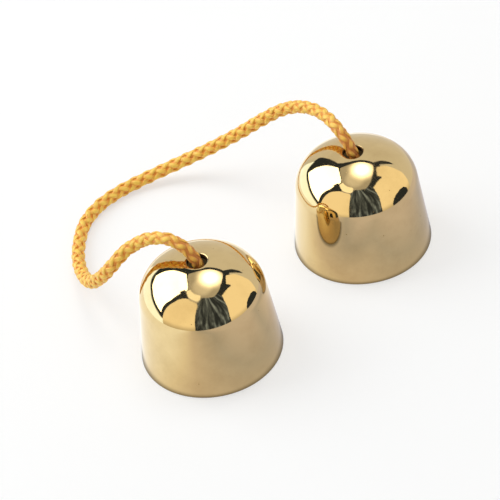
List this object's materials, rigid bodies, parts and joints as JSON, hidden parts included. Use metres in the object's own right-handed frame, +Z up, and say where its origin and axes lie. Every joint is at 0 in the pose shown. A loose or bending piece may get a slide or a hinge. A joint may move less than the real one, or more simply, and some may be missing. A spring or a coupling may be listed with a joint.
{
  "type": "pair of cup cymbals",
  "caption": "Polished brass cups with flared skirts and domed crowns, joined by a braided cord knotted inside each cup, struck together at the rims to ring.",
  "frame": {"origin": "midway between the axes of the two cups, on the surface that their mouths stand on", "axes": "+X from the left cup to the right cup, +Y towards the side where the cord's slack lies, +Z up through the crowns"},
  "size_m": [0.1236, 0.1148, 0.0494],
  "materials": {
    "brass": "mirror polished outside, turned inside",
    "braided_cord": "round braid of glossy golden yellow yarn"
  },
  "bodies": {
    "cord": {"cord": "braided_cord", "left_knot": "braided_cord", "right_knot": "braided_cord", "left_tail": "braided_cord", "right_tail": "braided_cord"},
    "left_cup": {"left_cup": "brass"},
    "right_cup": {"right_cup": "brass"}
  },
  "joints": [
    {"name": "left_cup_swivel", "type": "hinge", "parent": "cord", "child": "left_cup", "pos_m": [-0.0369, 0, 0.0402], "axis": [0, 0, 1], "continuous": true},
    {"name": "right_cup_swivel", "type": "hinge", "parent": "cord", "child": "right_cup", "pos_m": [0.0369, 0, 0.0402], "axis": [0, 0, 1], "continuous": true}
  ]
}
